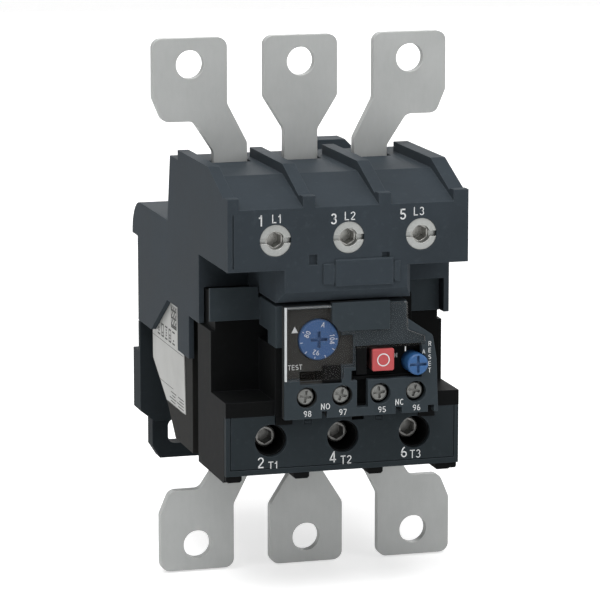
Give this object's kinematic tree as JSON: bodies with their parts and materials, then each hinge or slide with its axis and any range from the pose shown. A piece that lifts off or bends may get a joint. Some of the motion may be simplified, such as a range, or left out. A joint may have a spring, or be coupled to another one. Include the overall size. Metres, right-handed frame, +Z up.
{
  "type": "thermal overload relay",
  "caption": "Motor-protection relay plugged into a rail adaptor, with flat drilled terminal bars, setting dial under a hinged clear cover, stop and reset buttons and a heated trip mechanism.",
  "frame": {"origin": "centre line of the mounting rail on the mounting panel plane, in the middle of the width", "axes": "+X to the right seen from the front, +Y into the mounting panel, +Z up towards the line terminals"},
  "size_m": [0.096, 0.1253, 0.1693],
  "materials": {
    "slate": "dark blue-grey moulded thermoplastic",
    "black": "black moulded thermoplastic",
    "grey": "grey moulded thermoplastic",
    "label": "pale printed film",
    "clear": "clear polycarbonate",
    "blue": "blue moulded plastic",
    "red": "red moulded plastic",
    "ivory": "ivory moulded thermoset",
    "steel": "bare spring steel",
    "zinc": "zinc-plated steel",
    "tin": "tinned copper, matt",
    "brass": "brass with silver contact tips"
  },
  "bodies": {
    "housing": {"adaptor_housing": "slate", "label_tab": "slate", "mounting_base": "slate", "clip_spring": "steel", "front_case": "black", "rear_case": "grey", "terminal_frame": "slate", "terminal_cover": "slate", "side_label": "label", "control_housing": "slate", "control_carrier": "black", "stop_spring": "steel", "reset_spring": "steel", "control_screws": "zinc", "control_clamps": "zinc", "nc_contacts": "brass", "no_contacts": "brass", "rocker_pin": "steel", "line_bar_1": "tin", "load_bar_1": "tin", "line_sleeve_1": "zinc", "line_screw_1": "zinc", "load_screw_1": "zinc", "line_cage_1": "zinc", "load_cage_1": "zinc", "line_pin_1": "tin", "bimetal_1": "steel", "heater_1": "steel", "line_bar_2": "tin", "load_bar_2": "tin", "line_sleeve_2": "zinc", "line_screw_2": "zinc", "load_screw_2": "zinc", "line_cage_2": "zinc", "load_cage_2": "zinc", "line_pin_2": "tin", "bimetal_2": "steel", "heater_2": "steel", "line_bar_3": "tin", "load_bar_3": "tin", "line_sleeve_3": "zinc", "line_screw_3": "zinc", "load_screw_3": "zinc", "line_cage_3": "zinc", "load_cage_3": "zinc", "line_pin_3": "tin", "bimetal_3": "steel", "heater_3": "steel"},
    "rail_clip": {"din_clip": "slate"},
    "cover_flap": {"clear_cover": "clear"},
    "setting_dial": {"dial": "blue"},
    "stop_push": {"stop_button": "red"},
    "reset_push": {"reset_plunger": "blue"},
    "reset_selector": {"reset_knob": "blue"},
    "test_lever": {"test_slider": "black"},
    "overload_slide": {"trip_slide": "ivory"},
    "phase_loss_slide": {"differential_slide": "ivory"},
    "trip_arm": {"trip_lever": "steel"},
    "rocker": {"contact_rocker": "ivory", "contact_bridges": "brass"}
  },
  "joints": [
    {"name": "rail_clip_slide", "type": "slide", "parent": "housing", "child": "rail_clip", "axis": [0, 0, -1], "range_m": [0, 0.004], "stiffness_N_per_m": 800, "springref_m": -0.003, "deforming": ["clip_spring"]},
    {"name": "cover_hinge", "type": "hinge", "parent": "housing", "child": "cover_flap", "pos_m": [-0.0195, -0.1232, 0], "axis": [0, 0, -1], "range_deg": [0, 110]},
    {"name": "dial_turn", "type": "hinge", "parent": "housing", "child": "setting_dial", "pos_m": [-0.0088, -0.1215, 0.0036], "axis": [0, 1, 0], "range_deg": [0, 240]},
    {"name": "stop_press", "type": "slide", "parent": "housing", "child": "stop_push", "axis": [0, 1, 0], "range_m": [0, 0.0015], "stiffness_N_per_m": 300, "springref_m": -0.003, "deforming": ["stop_spring"]},
    {"name": "reset_press", "type": "slide", "parent": "housing", "child": "reset_push", "axis": [0, 1, 0], "range_m": [0, 0.002], "stiffness_N_per_m": 400, "springref_m": -0.003, "deforming": ["reset_spring"]},
    {"name": "reset_turn", "type": "hinge", "parent": "reset_push", "child": "reset_selector", "pos_m": [0.0223, -0.1215, -0.0054], "axis": [0, 1, 0], "range_deg": [0, 90]},
    {"name": "test_slide", "type": "slide", "parent": "housing", "child": "test_lever", "axis": [-1, 0, 0], "range_m": [0, 0.004], "stiffness_N_per_m": 200, "springref_m": -0.002},
    {"name": "trip_travel", "type": "slide", "parent": "housing", "child": "overload_slide", "axis": [1, 0, 0], "range_m": [0, 0.0011], "stiffness_N_per_m": 300, "springref_m": -0.001},
    {"name": "phase_loss_travel", "type": "slide", "parent": "housing", "child": "phase_loss_slide", "axis": [1, 0, 0], "range_m": [0, 0.0011]},
    {"name": "trip_lever_tilt", "type": "hinge", "parent": "housing", "child": "trip_arm", "pos_m": [0.03, -0.0745, 0.002], "axis": [0, 1, 0], "range_deg": [0, 9]},
    {"name": "rocker_tilt", "type": "hinge", "parent": "housing", "child": "rocker", "pos_m": [0.008, -0.095, 0.004], "axis": [0, 1, 0], "range_deg": [-9, 0]}
  ],
  "couplings": [
    {"joint": "phase_loss_travel", "follows": "trip_travel", "ratio": 1},
    {"joint": "trip_lever_tilt", "follows": "trip_travel", "rad_per_m": 140},
    {"joint": "rocker_tilt", "follows": "trip_travel", "rad_per_m": -140}
  ]
}
